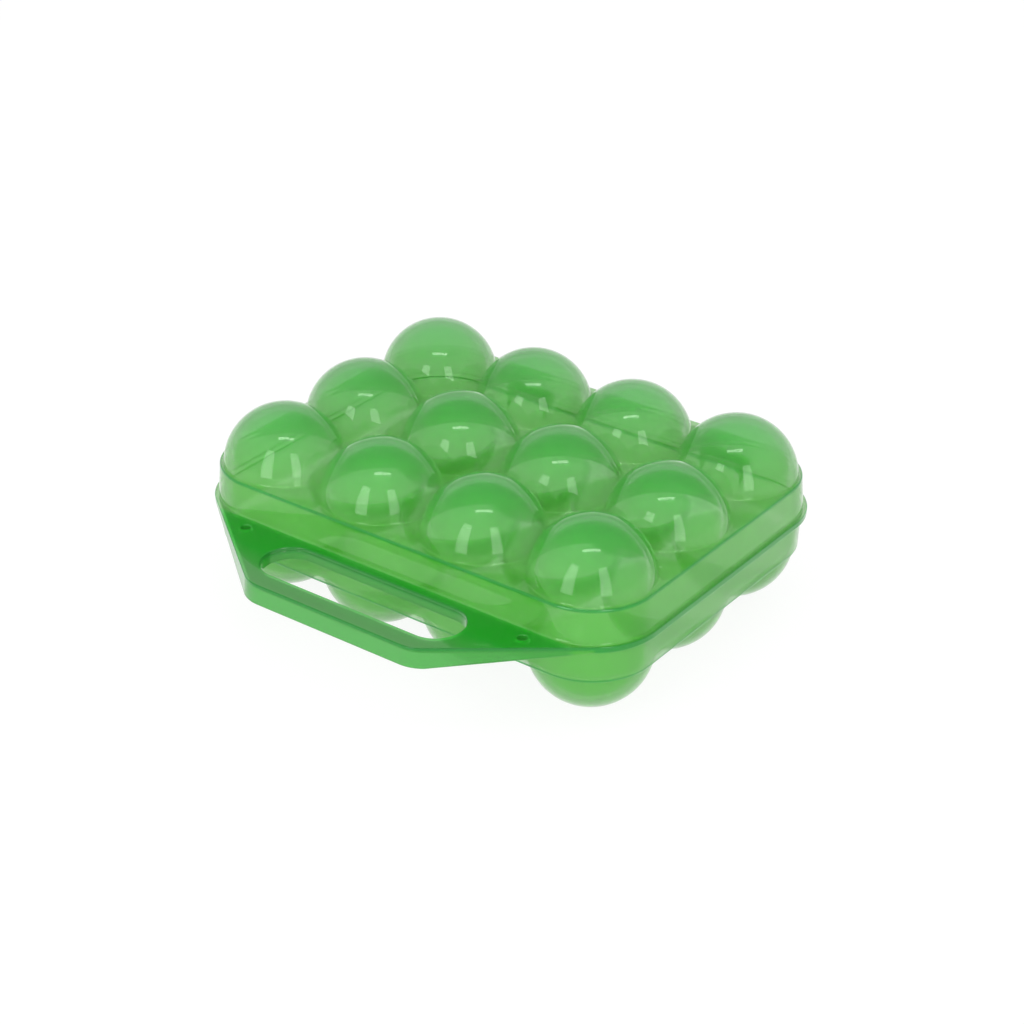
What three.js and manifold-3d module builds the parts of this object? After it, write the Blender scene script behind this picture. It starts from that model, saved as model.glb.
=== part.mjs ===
// Egg carrier box for a dozen eggs, in millimetres, +Z up.
// Two thin-walled plastic shells meet at a level parting plane: a base with twelve cups and a lid with
// twelve matching domes. The lid turns on two moulded pins behind the base, and its lip hangs over the
// base's rim. Both shells carry a handle plate with the same hand slot, and two press studs hold them
// shut. The model is drawn around the centre of the cup grid, with z = 0 on the parting plane. At the
// end it is moved to the middle of its footprint, standing on the flats under its cups.

import * as THREE from 'three';
import { mergeVertices } from 'three/addons/utils/BufferGeometryUtils.js';
import Module from 'manifold-3d';

const wasm = await Module();
wasm.setup();

// Driving dimensions

const cupColumns = 4;
const cupRows = 3;
const cupPitch = 50;          // centre to centre of neighbouring cups
const cupRadius = 24.9;       // outside of a cup or dome
const shellWall = 1.4;        // thickness of cups, walls and collars
const cupCentreDrop = 13.8;   // from the parting plane to the centre of a cup
const deckDrop = 15.7;        // from the parting plane to the outside of the web between the cups
const restFlatCut = 0.4;      // taken off the bottom of each base cup, so that the carrier stands firm

const deckLedge = 1.4;        // flat web outside the outer cups
const deckRounding = 0.7;     // corner between the web and the side wall
const lidWallDraft = 1.0;     // how far the lid's wall spreads from the web to the rim
const baseWallDraft = 0.6;    // the same on the base, which stays inside the lid's lip
const plateThickness = 1.5;   // rims and handle plates
const lipOverhang = 1.7;      // the lid's lip beyond the foot of its wall
const lipThickness = 1.3;
const lipDrop = 1.2;          // how far the lip hangs below the parting plane
const lipCove = 1.0;          // hollow corner between the lid's wall and its lip
const lipRounding = 0.4;      // top edge of the lip and of the handle
const rimClearance = 0.35;    // between the lip and the base's rim inside it

const gripReach = 34.5;       // handle's front face beyond the lip
const gripStraight = 69;      // straight stretch of the grip's front face
const gripCornerRadius = 15;
const gripWidth = 8.8;        // bar in front of the hand slot
const skirtDrop = 7.3;        // handle's turned-down edge, below the parting plane
const skirtDraft = 0.5;       // how far that edge spreads towards its foot
const slotLength = 94;
const slotWidth = 23;
const collarDrop = 4;         // turned-down edge of the slot in the base's plate

const studSpacing = 135;      // between the two press studs
const studReach = 4;          // stud centres in front of the lip's line
const studRadius = 2.8;
const studBead = 0.15;        // swelling that snaps under the base's plate
const studDrop = 3.6;
const studWall = 0.9;
const studClearance = 0.35;   // between a stud and its hole

const hingeStand = 3.5;       // pin's axis behind the lip
const pinRadius = 1.6;
const pinClearance = 0.3;
const hookWall = 1.4;
const hookLength = 16;
const hookMouthHalfAngle = THREE.MathUtils.degToRad(40);
const earThickness = 2.4;
const earRadius = 2.7;
const earGap = 0.4;           // between a hook and the ear beside it
const earFootDrop = 9;        // where an ear's foot ends on the base's wall
const earTopGap = 0.7;        // between the lip and an ear passing under it

const overrun = 2;            // how far a cutting tool runs past what it cuts
const weldDistance = 1e-4;    // corners of a surface closer than this are one corner

// Steps round the curves

const cupSides = 20;
const cupRings = 6;
const hollowRings = 5;
const cornerSteps = 8;
const gripSteps = 5;
const slotSteps = 8;
const pinSides = 16;
const hookHeelSteps = 2;
const studSides = 14;

// Places worked out from the dimensions

const halfCupLength = cupPitch * (cupColumns - 1) / 2;
const halfCupDepth = cupPitch * (cupRows - 1) / 2;
const deckMargin = cupRadius + deckLedge;
const lidWallMargin = deckMargin + lidWallDraft;
const baseWallMargin = deckMargin + baseWallDraft;
const lipMargin = lidWallMargin + lipOverhang;
const lipLine = halfCupDepth + lipMargin;
const gripFront = lipLine + gripReach;
const slotCentre = gripFront - gripWidth - slotWidth / 2;
const studLine = lipLine + studReach;
const hingeLine = lipLine + hingeStand;
const hookRadius = pinRadius + pinClearance + hookWall;
const baseHeight = cupCentreDrop + cupRadius - restFlatCut;

// Solids: three.js geometry in and out of the boolean library

function solid(geometry) {
  const bare = geometry.clone();
  bare.deleteAttribute('normal');
  bare.deleteAttribute('uv');
  const merged = mergeVertices(bare, weldDistance);
  const index = merged.index.array;
  const corners = [];
  for (let i = 0; i < index.length; i += 3) {
    const [a, b, c] = [index[i], index[i + 1], index[i + 2]];
    if (a !== b && b !== c && c !== a) corners.push(a, b, c);
  }
  const vertProperties = new Float32Array(merged.attributes.position.array);
  const triVerts = new Uint32Array(corners);
  return new wasm.Manifold(new wasm.Mesh({ numProp: 3, vertProperties, triVerts }));
}

function union(solids) {
  return solids.reduce((whole, piece) => whole.add(piece));
}

function cut(whole, tools) {
  return tools.reduce((left, tool) => left.subtract(tool), whole);
}

function namedMesh(body, name, material) {
  const { vertProperties, triVerts } = body.getMesh();
  const geometry = new THREE.BufferGeometry();
  geometry.setAttribute('position', new THREE.BufferAttribute(vertProperties, 3));
  geometry.setIndex(new THREE.BufferAttribute(triVerts, 1));
  geometry.computeVertexNormals();
  const mesh = new THREE.Mesh(geometry, material);
  mesh.name = name;
  return mesh;
}

// A loft joins outlines with the same number of points, each at its own height, lowest first.

function loft(rings) {
  const count = rings[0].points.length;
  const positions = rings.flatMap(({ points, z }) => points.flatMap((point) => [point.x, point.y, z]));
  const faces = [];
  for (let ring = 0; ring + 1 < rings.length; ring += 1) {
    for (let i = 0; i < count; i += 1) {
      const low = ring * count + i;
      const lowNext = ring * count + (i + 1) % count;
      faces.push(low, lowNext, low + count, lowNext, lowNext + count, low + count);
    }
  }
  const top = (rings.length - 1) * count;
  for (const [a, b, c] of THREE.ShapeUtils.triangulateShape(rings[0].points, [])) faces.push(a, c, b);
  for (const [a, b, c] of THREE.ShapeUtils.triangulateShape(rings.at(-1).points, [])) {
    faces.push(top + a, top + b, top + c);
  }
  const geometry = new THREE.BufferGeometry();
  geometry.setAttribute('position', new THREE.Float32BufferAttribute(positions, 3));
  geometry.setIndex(faces);
  return solid(geometry);
}

function arc(x, y, radius, from, to, steps) {
  const points = [];
  for (let i = 0; i <= steps; i += 1) {
    const angle = from + (to - from) * i / steps;
    points.push(new THREE.Vector2(x + radius * Math.cos(angle), y + radius * Math.sin(angle)));
  }
  return points;
}

const quarter = Math.PI / 2;

// Rounded rectangle that follows the outer cups at a given margin, anticlockwise.

function trayOutline(margin) {
  return [
    ...arc(halfCupLength, -halfCupDepth, margin, -quarter, 0, cornerSteps),
    ...arc(halfCupLength, halfCupDepth, margin, 0, quarter, cornerSteps),
    ...arc(-halfCupLength, halfCupDepth, margin, quarter, 2 * quarter, cornerSteps),
    ...arc(-halfCupLength, -halfCupDepth, margin, 2 * quarter, 3 * quarter, cornerSteps),
  ];
}

// The handle's sides are tangents from the grip's round corners to the round corners of the box.
// Their slope is the same at every inset, because both radii shrink alike.

const gripCornerX = gripStraight / 2;
const gripCornerY = -(gripFront - gripCornerRadius);
const toBoxCorner = new THREE.Vector2(halfCupLength - gripCornerX, -halfCupDepth - gripCornerY);
const radiusGrowth = (lipMargin - gripCornerRadius) / toBoxCorner.length();
const sideSlope = toBoxCorner.angle() - Math.asin(radiusGrowth);
const sideNormal = sideSlope - quarter;

// Outline of the lip and handle together. A positive spread lies outside the lip's face.

function carrierOutline(spread) {
  const boxRadius = lipMargin + spread;
  const gripRadius = gripCornerRadius + spread;
  const leftNormal = 2 * quarter - sideNormal;
  return [
    ...arc(gripCornerX, gripCornerY, gripRadius, -quarter, sideNormal, gripSteps),
    ...arc(halfCupLength, -halfCupDepth, boxRadius, sideNormal, 0, cornerSteps),
    ...arc(halfCupLength, halfCupDepth, boxRadius, 0, quarter, cornerSteps),
    ...arc(-halfCupLength, halfCupDepth, boxRadius, quarter, 2 * quarter, cornerSteps),
    ...arc(-halfCupLength, -halfCupDepth, boxRadius, 2 * quarter, leftNormal, cornerSteps),
    ...arc(-gripCornerX, gripCornerY, gripRadius, leftNormal, 3 * quarter, gripSteps),
  ];
}

// Hand slot with round ends, at a given margin outside its edge.

function slotPrism(margin, low, high) {
  const radius = slotWidth / 2 + margin;
  const endX = (slotLength - slotWidth) / 2;
  const points = [
    ...arc(endX, -slotCentre, radius, -quarter, quarter, slotSteps),
    ...arc(-endX, -slotCentre, radius, quarter, 3 * quarter, slotSteps),
  ];
  return loft([{ points, z: low }, { points, z: high }]);
}

// Cups and domes are turned profiles. An angle of zero is the pole, away from the parting plane.

function ballProfile(radius, poleCut, endDrop, rings) {
  const startAngle = Math.acos((radius - poleCut) / radius);
  const endAngle = Math.acos((endDrop - cupCentreDrop) / radius);
  const profile = [new THREE.Vector2(0, cupCentreDrop + radius - poleCut)];
  for (let i = poleCut > 0 ? 0 : 1; i <= rings; i += 1) {
    const angle = startAngle + (endAngle - startAngle) * i / rings;
    profile.push(new THREE.Vector2(radius * Math.sin(angle), cupCentreDrop + radius * Math.cos(angle)));
  }
  profile.push(new THREE.Vector2(0, profile.at(-1).y));
  return profile;
}

function forEachCup(make) {
  const places = [];
  for (let column = 0; column < cupColumns; column += 1) {
    for (let row = 0; row < cupRows; row += 1) {
      places.push([column * cupPitch - halfCupLength, row * cupPitch - halfCupDepth]);
    }
  }
  return places.map(([x, y]) => make(x, y));
}

// facing is 1 for the lid's domes and -1 for the base's cups.

function ball(profile, facing, x, y) {
  const geometry = new THREE.LatheGeometry(profile.slice().reverse(), cupSides);
  geometry.rotateX(facing * quarter);
  geometry.translate(x, y, 0);
  return solid(geometry);
}

function cups(facing, poleCut) {
  const profile = ballProfile(cupRadius, poleCut, deckDrop - shellWall / 2, cupRings);
  return forEachCup((x, y) => ball(profile, facing, x, y));
}

function cupHollows(facing) {
  const profile = ballProfile(cupRadius - shellWall, 0, deckDrop - shellWall - overrun, hollowRings);
  return forEachCup((x, y) => ball(profile, facing, x, y));
}

// Straight bars: a profile drawn in the plane across the bar, carried along X or along Y.

function extrusion(points, depth) {
  return new THREE.ExtrudeGeometry(new THREE.Shape(points), { depth, bevelEnabled: false });
}

function barAlongX(points, fromX, toX) {
  const geometry = extrusion(points, toX - fromX);
  const across = new THREE.Vector3(0, 1, 0);
  const up = new THREE.Vector3(0, 0, 1);
  const along = new THREE.Vector3(1, 0, 0);
  geometry.applyMatrix4(new THREE.Matrix4().makeBasis(across, up, along));
  geometry.translate(fromX, 0, 0);
  return solid(geometry);
}

function barAlongY(points, fromY, toY) {
  const geometry = extrusion(points, toY - fromY);
  geometry.rotateX(quarter);
  geometry.translate(0, toY, 0);
  return solid(geometry);
}

function uprightCylinder(radius, sides, low, high, x, y) {
  const geometry = new THREE.CylinderGeometry(radius, radius, high - low, sides);
  geometry.rotateX(quarter);
  geometry.translate(x, y, (low + high) / 2);
  return solid(geometry);
}

// Press studs: hollow pegs under the lid's handle plate, and holes for them in the base's.

const studPlaces = [-studSpacing / 2, studSpacing / 2];

function studs() {
  const neckDrop = plateThickness + studClearance;
  const profile = [
    new THREE.Vector2(0, -studDrop),
    new THREE.Vector2(studRadius - studBead, -studDrop),
    new THREE.Vector2(studRadius + studBead, -(studDrop + neckDrop) / 2),
    new THREE.Vector2(studRadius, -neckDrop),
    new THREE.Vector2(studRadius, plateThickness / 2),
    new THREE.Vector2(0, plateThickness / 2),
  ];
  return studPlaces.map((x) => {
    const geometry = new THREE.LatheGeometry(profile, studSides);
    geometry.rotateX(quarter);
    geometry.translate(x, -studLine, 0);
    return solid(geometry);
  });
}

function studDimples() {
  const radius = studRadius - studWall;
  const low = studWall - studDrop;
  const high = plateThickness + overrun;
  return studPlaces.map((x) => uprightCylinder(radius, studSides, low, high, x, -studLine));
}

function studHoles() {
  const radius = studRadius + studClearance;
  const low = -plateThickness - overrun;
  return studPlaces.map((x) => uprightCylinder(radius, studSides, low, overrun, x, -studLine));
}

// Hinge: each pin stands between two ears on the base, and a hook on the lid snaps over it.

const hingePlaces = [-cupPitch, cupPitch];
const rimFace = lipLine - lipThickness - rimClearance;

function earProfile() {
  const foot = new THREE.Vector2(halfCupDepth + baseWallMargin - shellWall / 2, -earFootDrop);
  const toAxis = new THREE.Vector2(hingeLine, 0).sub(foot);
  const undersideNormal = toAxis.angle() - Math.asin(earRadius / toAxis.length()) - quarter;
  const shoulderDrop = lipDrop + earTopGap;
  const shoulderAngle = 2 * quarter + Math.asin(shoulderDrop / earRadius);
  const rootFace = rimFace - shellWall / 2;
  return [
    foot,
    ...arc(hingeLine, 0, earRadius, undersideNormal, shoulderAngle, pinSides),
    new THREE.Vector2(rootFace, -shoulderDrop),
    new THREE.Vector2(rootFace, -plateThickness / 2),
    new THREE.Vector2(foot.x, -plateThickness / 2),
  ];
}

function ears() {
  const profile = earProfile();
  const inner = hookLength / 2 + earGap;
  return hingePlaces.flatMap((x) => [
    barAlongX(profile, x + inner, x + inner + earThickness),
    barAlongX(profile, x - inner - earThickness, x - inner),
  ]);
}

function pins() {
  const length = hookLength + 2 * earGap + earThickness;
  return hingePlaces.map((x) => {
    const geometry = new THREE.CylinderGeometry(pinRadius, pinRadius, length, pinSides);
    geometry.rotateZ(quarter);
    geometry.translate(x, hingeLine, 0);
    return solid(geometry);
  });
}

function hooks() {
  const bore = pinRadius + pinClearance;
  const rightLip = hookMouthHalfAngle - quarter;
  const leftLip = 3 * quarter - hookMouthHalfAngle;
  const armRoot = lipLine - lipThickness / 2;
  const profile = [
    ...arc(hingeLine, 0, hookRadius, rightLip, quarter, pinSides),
    new THREE.Vector2(armRoot, plateThickness),
    new THREE.Vector2(armRoot, 0),
    ...arc(hingeLine, 0, hookRadius, 2 * quarter, leftLip, hookHeelSteps),
    ...arc(hingeLine, 0, bore, leftLip, rightLip, pinSides),
  ];
  return hingePlaces.map((x) => barAlongX(profile, x - hookLength / 2, x + hookLength / 2));
}

// Base: a drafted tray with twelve cups, a flat rim that widens into the handle plate, and a
// turned-down collar round the hand slot.

function baseShell() {
  const tray = loft([
    { points: trayOutline(deckMargin - deckRounding), z: -deckDrop },
    { points: trayOutline(deckMargin), z: deckRounding - deckDrop },
    { points: trayOutline(baseWallMargin), z: 0 },
  ]);
  const trayHollow = loft([
    { points: trayOutline(deckMargin - shellWall), z: shellWall - deckDrop },
    { points: trayOutline(baseWallMargin - shellWall), z: 0 },
    { points: trayOutline(baseWallMargin - shellWall), z: overrun },
  ]);
  const plateOutline = carrierOutline(-lipThickness - rimClearance);
  const plate = loft([{ points: plateOutline, z: -plateThickness }, { points: plateOutline, z: 0 }]);
  const collar = slotPrism(shellWall, -collarDrop, -plateThickness / 2);
  const slot = slotPrism(0, -collarDrop - overrun, overrun);
  const body = union([tray, plate, collar, ...cups(-1, restFlatCut), ...ears(), ...pins()]);
  return cut(body, [trayHollow, slot, ...cupHollows(-1), ...studHoles()]);
}

// Lid: the same tray and cups upside down. Its rim ends in a lip that hangs over the base's rim and
// deepens along the handle's sides into the skirt round the grip.

function skirtRelief() {
  const boxTangentX = halfCupLength + lipMargin * Math.cos(sideNormal);
  const gripTangentX = gripCornerX + gripCornerRadius * Math.cos(sideNormal);
  const kept = barAlongY([
    new THREE.Vector2(-boxTangentX, -lipDrop),
    new THREE.Vector2(-gripTangentX, -skirtDrop),
    new THREE.Vector2(gripTangentX, -skirtDrop),
    new THREE.Vector2(boxTangentX, -lipDrop),
  ], -gripFront - overrun, -halfCupDepth);
  const around = carrierOutline(overrun);
  const below = loft([{ points: around, z: -skirtDrop - overrun }, { points: around, z: -lipDrop }]);
  return below.subtract(kept);
}

function lidShell() {
  const tray = loft([
    { points: trayOutline(lidWallMargin + lipCove), z: 0 },
    { points: trayOutline(lidWallMargin + lipCove), z: plateThickness },
    { points: trayOutline(lidWallMargin), z: plateThickness + lipCove },
    { points: trayOutline(deckMargin), z: deckDrop - deckRounding },
    { points: trayOutline(deckMargin - deckRounding), z: deckDrop },
  ]);
  const trayHollow = loft([
    { points: trayOutline(lidWallMargin - shellWall), z: -overrun },
    { points: trayOutline(lidWallMargin - shellWall), z: 0 },
    { points: trayOutline(deckMargin - shellWall), z: deckDrop - shellWall },
  ]);
  const plateAndSkirt = loft([
    { points: carrierOutline(skirtDraft), z: -skirtDrop },
    { points: carrierOutline(0), z: 0 },
    { points: carrierOutline(0), z: plateThickness - lipRounding },
    { points: carrierOutline(-lipRounding), z: plateThickness },
  ]);
  const spreadBelowSkirt = skirtDraft * (1 + overrun / skirtDrop);
  const skirtHollow = loft([
    { points: carrierOutline(spreadBelowSkirt - lipThickness), z: -skirtDrop - overrun },
    { points: carrierOutline(-lipThickness), z: 0 },
  ]);
  const rim = cut(plateAndSkirt, [skirtHollow, skirtRelief()]);
  const slot = slotPrism(0, -overrun, plateThickness + overrun);
  const body = union([rim, tray, ...cups(1, 0), ...studs(), ...hooks()]);
  return cut(body, [trayHollow, slot, ...cupHollows(1), ...studDimples()]);
}

// Clear green polypropylene, the lid a shade lighter where a single wall shows

const basePlastic = new THREE.MeshStandardMaterial({ color: 0x4fb84a, roughness: 0.3, metalness: 0 });
const lidPlastic = new THREE.MeshStandardMaterial({ color: 0x58bf54, roughness: 0.3, metalness: 0 });

const carrier = new THREE.Group();
carrier.add(namedMesh(baseShell(), 'base_shell', basePlastic));
carrier.add(namedMesh(lidShell(), 'lid_shell', lidPlastic));
carrier.position.set(0, (gripFront + skirtDraft - hingeLine - hookRadius) / 2, baseHeight);

export default carrier;
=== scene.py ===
"""Egg carrier box of clear green plastic: a cupped base and a domed lid on a rear hinge.

The two mouldings are drawn here as fine thin-walled shells over the plain solids of the frame. Every
length is in metres. Shapes are drawn around the centre of the cup grid, with z = 0 on the parting
plane between the shells, and are moved to their place in the frame as they become meshes.
"""

import math

import bpy
import numpy as np
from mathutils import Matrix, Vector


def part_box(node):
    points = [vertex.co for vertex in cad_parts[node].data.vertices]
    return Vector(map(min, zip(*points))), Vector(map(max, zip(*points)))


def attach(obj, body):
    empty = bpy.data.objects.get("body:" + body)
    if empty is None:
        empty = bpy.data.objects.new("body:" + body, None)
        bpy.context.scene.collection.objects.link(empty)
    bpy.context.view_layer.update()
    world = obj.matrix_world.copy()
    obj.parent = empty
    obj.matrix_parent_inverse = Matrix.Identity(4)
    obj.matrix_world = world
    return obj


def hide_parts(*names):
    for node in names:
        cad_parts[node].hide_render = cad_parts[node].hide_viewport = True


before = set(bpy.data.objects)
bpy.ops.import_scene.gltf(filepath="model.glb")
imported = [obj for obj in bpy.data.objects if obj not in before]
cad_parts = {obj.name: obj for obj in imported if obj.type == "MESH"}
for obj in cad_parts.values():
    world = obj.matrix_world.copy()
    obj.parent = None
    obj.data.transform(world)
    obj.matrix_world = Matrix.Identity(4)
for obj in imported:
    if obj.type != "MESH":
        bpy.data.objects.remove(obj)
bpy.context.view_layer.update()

# Cups and domes

CUP_COLUMNS = 4
CUP_ROWS = 3
CUP_PITCH = 0.050
CUP_RADIUS = 0.0249
SHELL_WALL = 0.0014
CUP_CENTRE_DROP = 0.0138
DECK_DROP = 0.0157
REST_FLAT_CUT = 0.0004
FOOT_FILLET = 0.0008
MOUTH_ROUNDING = 0.0010

# Walls, rims and the handle

DECK_LEDGE = 0.0014
DECK_ROUNDING = 0.0007
INNER_ROUNDING = 0.0004
LID_WALL_DRAFT = 0.0010
BASE_WALL_DRAFT = 0.0006
PLATE_THICKNESS = 0.0015
LIP_OVERHANG = 0.0017
LIP_THICKNESS = 0.0013
LIP_DROP = 0.0012
LIP_COVE = 0.0010
EDGE_ROUNDING = 0.0004
RIM_CLEARANCE = 0.00035
GRIP_REACH = 0.0345
GRIP_STRAIGHT = 0.069
GRIP_CORNER_RADIUS = 0.015
GRIP_WIDTH = 0.0088
SKIRT_DROP = 0.0073
SKIRT_DRAFT = 0.0005
SLOT_LENGTH = 0.094
SLOT_WIDTH = 0.023
SLOT_ROUNDING = 0.0006
COLLAR_DROP = 0.0040

# Press studs and hinge

STUD_SPACING = 0.135
STUD_REACH = 0.0040
STUD_RADIUS = 0.0028
STUD_BEAD = 0.00015
STUD_DROP = 0.0036
STUD_WALL = 0.0009
STUD_CLEARANCE = 0.00035
HINGE_STAND = 0.0035
PIN_RADIUS = 0.0016
PIN_CLEARANCE = 0.0003
HOOK_WALL = 0.0014
HOOK_LENGTH = 0.016
HOOK_MOUTH_HALF_ANGLE = math.radians(40)
EAR_THICKNESS = 0.0024
EAR_RADIUS = 0.0027
EAR_GAP = 0.0004
EAR_FOOT_DROP = 0.009
EAR_TOP_GAP = 0.0007
HINGE_BEVEL = 0.00025

# How far a cutting shape runs past what it cuts, and how far a tangent edge dips into what it meets

OVERRUN = 0.002
DIP = 0.000005

# Edges painted a deeper green as shade: the height of their band, the upright part of a normal from
# which a face counts as level, and the share of that painted shade round the slot

EDGE_BAND = 0.0012
LEVEL_NORMAL = 0.97
SLOT_EDGE_SHADE_SHARE = 0.75

# Shading and bevels: the widest turn that looks smooth, how far broad faces lead the shading, and the
# narrowest turn that gets a bevel

SMOOTH_TURN = math.radians(32)
BROAD_FACE_WEIGHT = 80
BEVEL_TURN = math.radians(50)
BEVEL_STEPS = 2

# Steps round the curves

CUP_SIDES = 80
CUP_RINGS = 24
FILLET_RINGS = 4
CORNER_STEPS = 26
GRIP_STEPS = 14
SLOT_STEPS = 30
ROUND_STEPS = 5
PIN_SIDES = 36

# Places worked out from the sizes

HALF_CUP_LENGTH = CUP_PITCH * (CUP_COLUMNS - 1) / 2
HALF_CUP_DEPTH = CUP_PITCH * (CUP_ROWS - 1) / 2
DECK_MARGIN = CUP_RADIUS + DECK_LEDGE
LID_WALL_MARGIN = DECK_MARGIN + LID_WALL_DRAFT
BASE_WALL_MARGIN = DECK_MARGIN + BASE_WALL_DRAFT
LIP_MARGIN = LID_WALL_MARGIN + LIP_OVERHANG
LIP_LINE = HALF_CUP_DEPTH + LIP_MARGIN
GRIP_FRONT = LIP_LINE + GRIP_REACH
SLOT_CENTRE = GRIP_FRONT - GRIP_WIDTH - SLOT_WIDTH / 2
STUD_LINE = LIP_LINE + STUD_REACH
STUD_CENTRES = [(-STUD_SPACING / 2, -STUD_LINE), (STUD_SPACING / 2, -STUD_LINE)]
HINGE_LINE = LIP_LINE + HINGE_STAND
HINGE_PLACES = (-CUP_PITCH, CUP_PITCH)
HOOK_RADIUS = PIN_RADIUS + PIN_CLEARANCE + HOOK_WALL

LID_LOW, LID_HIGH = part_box("lid_shell")
PARTING_HEIGHT = LID_HIGH[2] - CUP_CENTRE_DROP - CUP_RADIUS
GRID_CENTRE = np.array([0.0, LID_LOW[1] + GRIP_FRONT + SKIRT_DRAFT, PARTING_HEIGHT])

QUARTER = math.pi / 2


def piece_from(name, points, faces):
    """A mesh object of the given points, moved from the grid's centre to its place in the frame."""
    mesh = bpy.data.meshes.new(name)
    mesh.from_pydata((points + GRID_CENTRE).tolist(), [], faces)
    mesh.update()
    piece = bpy.data.objects.new(name, mesh)
    bpy.context.scene.collection.objects.link(piece)
    return piece


def grid_faces(rings, count, offset=0):
    """Quads of a closed band: ring k, point i joins ring k + 1, point i + 1, wrapping round."""
    ring, point = np.meshgrid(np.arange(rings - 1), np.arange(count), indexing="ij")
    low = offset + ring * count + point
    low_next = offset + ring * count + (point + 1) % count
    return np.stack([low, low_next, low_next + count, low + count], axis=-1).reshape(-1, 4).tolist()


def loft(name, rings):
    """A closed solid through rings of equal point counts, first and last ring capped.

    rings[k, i] is point i of ring k. The rings wind anticlockwise seen from above and lead from the
    solid's lower cap round its outside to its upper cap.
    """
    rings = np.asarray(rings, float)
    count = rings.shape[1]
    faces = grid_faces(len(rings), count)
    last = (len(rings) - 1) * count
    faces.append(list(range(count - 1, -1, -1)))
    faces.append(list(range(last, last + count)))
    return piece_from(name, rings.reshape(-1, 3), faces)


def turned(name, profile, sides, centres):
    """Solids of revolution: profile rows (r, z) run from the axis below to the axis above.

    Point (k, i) lies at (r_k cos a_i, r_k sin a_i, z_k) with a_i = 2 pi i / sides, and the first and
    last rows are single points on the axis. One copy stands at each centre.
    """
    profile = np.asarray(profile, float)
    angle = 2 * math.pi * np.arange(sides) / sides
    radius, height = profile[1:-1, 0], profile[1:-1, 1]
    body = np.stack([
        np.outer(radius, np.cos(angle)),
        np.outer(radius, np.sin(angle)),
        np.repeat(height[:, None], sides, axis=1),
    ], axis=-1).reshape(-1, 3)
    ends = np.array([[0, 0, profile[0, 1]], [0, 0, profile[-1, 1]]])
    one = np.concatenate([body, ends])
    low, high = len(body), len(body) + 1
    i = np.arange(sides)
    top = low - sides
    caps_low = np.stack([np.full(sides, low), (i + 1) % sides, i], axis=1).tolist()
    caps_high = np.stack([np.full(sides, high), top + i, top + (i + 1) % sides], axis=1).tolist()
    faces = grid_faces(len(radius), sides) + caps_low + caps_high
    points, copies = [], []
    for n, (x, y) in enumerate(centres):
        points.append(one + [x, y, 0])
        copies += [[index + n * len(one) for index in face] for face in faces]
    return piece_from(name, np.concatenate(points), copies)


def bars(name, profile, spans):
    """Straight bars along X: an anticlockwise profile of (y, z) rows, carried over each span."""
    profile = np.asarray(profile, float)
    count = len(profile)
    points, faces = [], []
    for n, (start, end) in enumerate(spans):
        for x in (start, end):
            points.append(np.column_stack([np.full(count, x), profile]))
        offset = 2 * n * count
        faces += grid_faces(2, count, offset)
        faces.append(list(range(offset + count - 1, offset - 1, -1)))
        faces.append(list(range(offset + count, offset + 2 * count)))
    return piece_from(name, np.concatenate(points), faces)


def arc(x, y, radius, start, end, steps):
    """Points (x + r cos a, y + r sin a) with a going evenly from start to end."""
    angle = np.linspace(start, end, steps + 1)
    return np.column_stack([x + radius * np.cos(angle), y + radius * np.sin(angle)])


def at_height(outline, z):
    """The outline as a ring at height z, which is one number or one for each point."""
    return np.column_stack([outline, np.broadcast_to(z, len(outline))])


# Outlines


def tray_outline(margin):
    """Rounded rectangle at a margin outside the centres of the outer cups."""
    x, y = HALF_CUP_LENGTH, HALF_CUP_DEPTH
    return np.concatenate([
        arc(x, -y, margin, -QUARTER, 0, CORNER_STEPS),
        arc(x, y, margin, 0, QUARTER, CORNER_STEPS),
        arc(-x, y, margin, QUARTER, 2 * QUARTER, CORNER_STEPS),
        arc(-x, -y, margin, 2 * QUARTER, 3 * QUARTER, CORNER_STEPS),
    ])


# The handle's sides, tangents from the arcs at the grip's corners to those at the box's

GRIP_CORNER_X = GRIP_STRAIGHT / 2
GRIP_CORNER_Y = -(GRIP_FRONT - GRIP_CORNER_RADIUS)
TO_BOX_CORNER = (HALF_CUP_LENGTH - GRIP_CORNER_X, -HALF_CUP_DEPTH - GRIP_CORNER_Y)
RADIUS_GROWTH = (LIP_MARGIN - GRIP_CORNER_RADIUS) / math.hypot(*TO_BOX_CORNER)
SIDE_SLOPE = math.atan2(TO_BOX_CORNER[1], TO_BOX_CORNER[0]) - math.asin(RADIUS_GROWTH)
SIDE_NORMAL = SIDE_SLOPE - QUARTER


def carrier_outline(spread):
    """Lip and handle in one outline, whose sides are tangents from the grip's corners to the box's."""
    x, y = HALF_CUP_LENGTH, HALF_CUP_DEPTH
    box, grip = LIP_MARGIN + spread, GRIP_CORNER_RADIUS + spread
    left_normal = 2 * QUARTER - SIDE_NORMAL
    return np.concatenate([
        arc(GRIP_CORNER_X, GRIP_CORNER_Y, grip, -QUARTER, SIDE_NORMAL, GRIP_STEPS),
        arc(x, -y, box, SIDE_NORMAL, 0, CORNER_STEPS),
        arc(x, y, box, 0, QUARTER, CORNER_STEPS),
        arc(-x, y, box, QUARTER, 2 * QUARTER, CORNER_STEPS),
        arc(-x, -y, box, 2 * QUARTER, left_normal, CORNER_STEPS),
        arc(-GRIP_CORNER_X, GRIP_CORNER_Y, grip, left_normal, 3 * QUARTER, GRIP_STEPS),
    ])


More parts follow.
